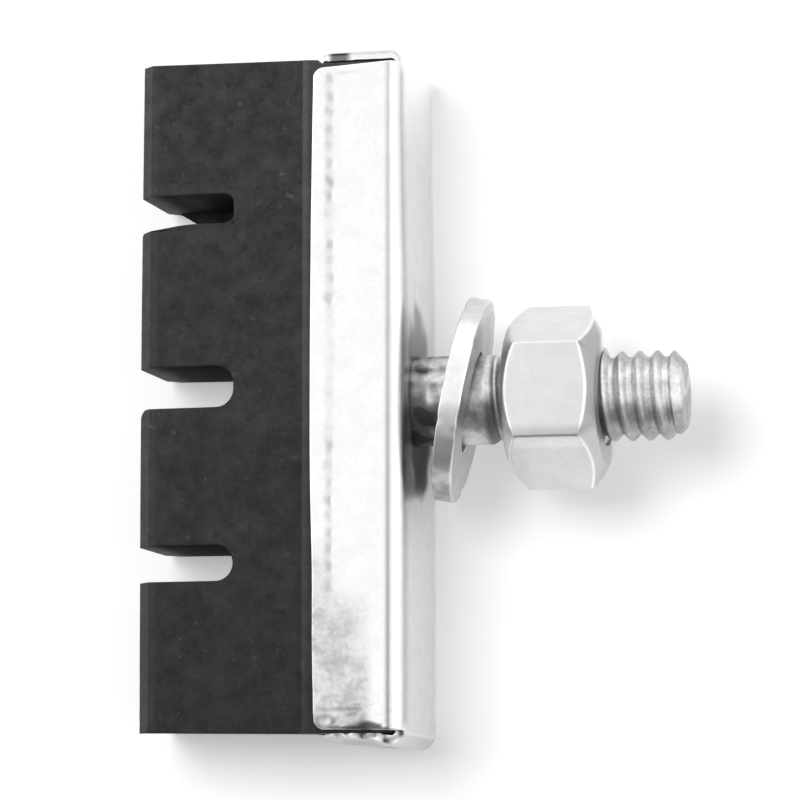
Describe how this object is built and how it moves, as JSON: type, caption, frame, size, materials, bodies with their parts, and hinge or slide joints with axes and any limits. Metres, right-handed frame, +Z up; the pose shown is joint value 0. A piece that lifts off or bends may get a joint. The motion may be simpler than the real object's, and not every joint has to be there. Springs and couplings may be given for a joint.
{
  "type": "bicycle rim brake pad",
  "caption": "Slotted rubber block in a folded steel shoe, with a threaded stud, loose washer and hexagon nut that clamp it to a bicycle's brake arm so the block presses on the wheel rim.",
  "frame": {"origin": "on the stud's axis, at the outer face of the shoe's back plate, where the brake arm is clamped", "axes": "+X along the stud, away from the rubber; +Y along the block; +Z up, with the pad lying on its side"},
  "size_m": [0.0387, 0.049, 0.0146],
  "materials": {
    "shoe_plate": "bright plated sheet steel",
    "rubber": "matt moulded black rubber",
    "stud_steel": "zinc plated steel",
    "washer_steel": "zinc plated steel, tumbled",
    "nut_steel": "zinc plated steel"
  },
  "bodies": {
    "root": {"shoe": "shoe_plate", "rubber_block": "rubber", "stud": "stud_steel", "washer": "washer_steel", "nut": "nut_steel"}
  },
  "joints": []
}
